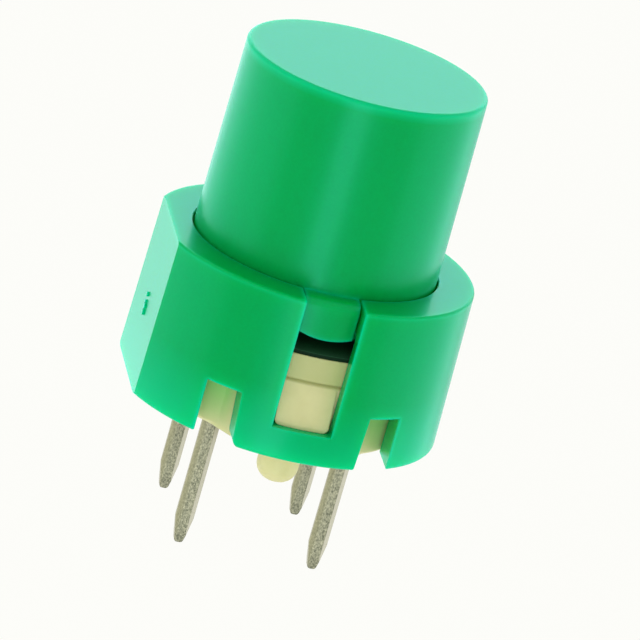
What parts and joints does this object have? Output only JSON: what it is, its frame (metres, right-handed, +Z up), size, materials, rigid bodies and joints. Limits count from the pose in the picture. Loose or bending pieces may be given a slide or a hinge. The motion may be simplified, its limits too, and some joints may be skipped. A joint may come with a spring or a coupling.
{
  "type": "tactile push button switch",
  "caption": "Round sprung push button in a notched shell with a flat side, on a base with a locating peg and through-board legs.",
  "frame": {"origin": "centre of the board face, the plane at the foot of the body that rests on the circuit board", "axes": "+Z up along the button's travel, away from the board; the locating peg and one latch window are on the -Y side; the flat side of the body faces -X"},
  "size_m": [0.0117, 0.0122, 0.0185],
  "materials": {
    "housing_green": "moulded, glossy green",
    "button_green": "moulded, satin green",
    "boot_black": "smooth black silicone rubber",
    "dome_steel": "rolled stainless strip",
    "base_cream": "moulded, matt cream",
    "terminal_tin": "dull tin plating"
  },
  "bodies": {
    "switch_body": {"housing": "housing_green", "base": "base_cream", "rubber_boot": "boot_black", "contact_dome": "dome_steel", "terminal_centre": "terminal_tin", "terminal_rim": "terminal_tin"},
    "button": {"button_cap": "button_green"}
  },
  "joints": [
    {"name": "button_press", "type": "slide", "parent": "switch_body", "child": "button", "axis": [0, 0, -1], "range_m": [0, 0.0004], "stiffness_N_per_m": 3000, "deforming": ["rubber_boot", "contact_dome"]}
  ]
}
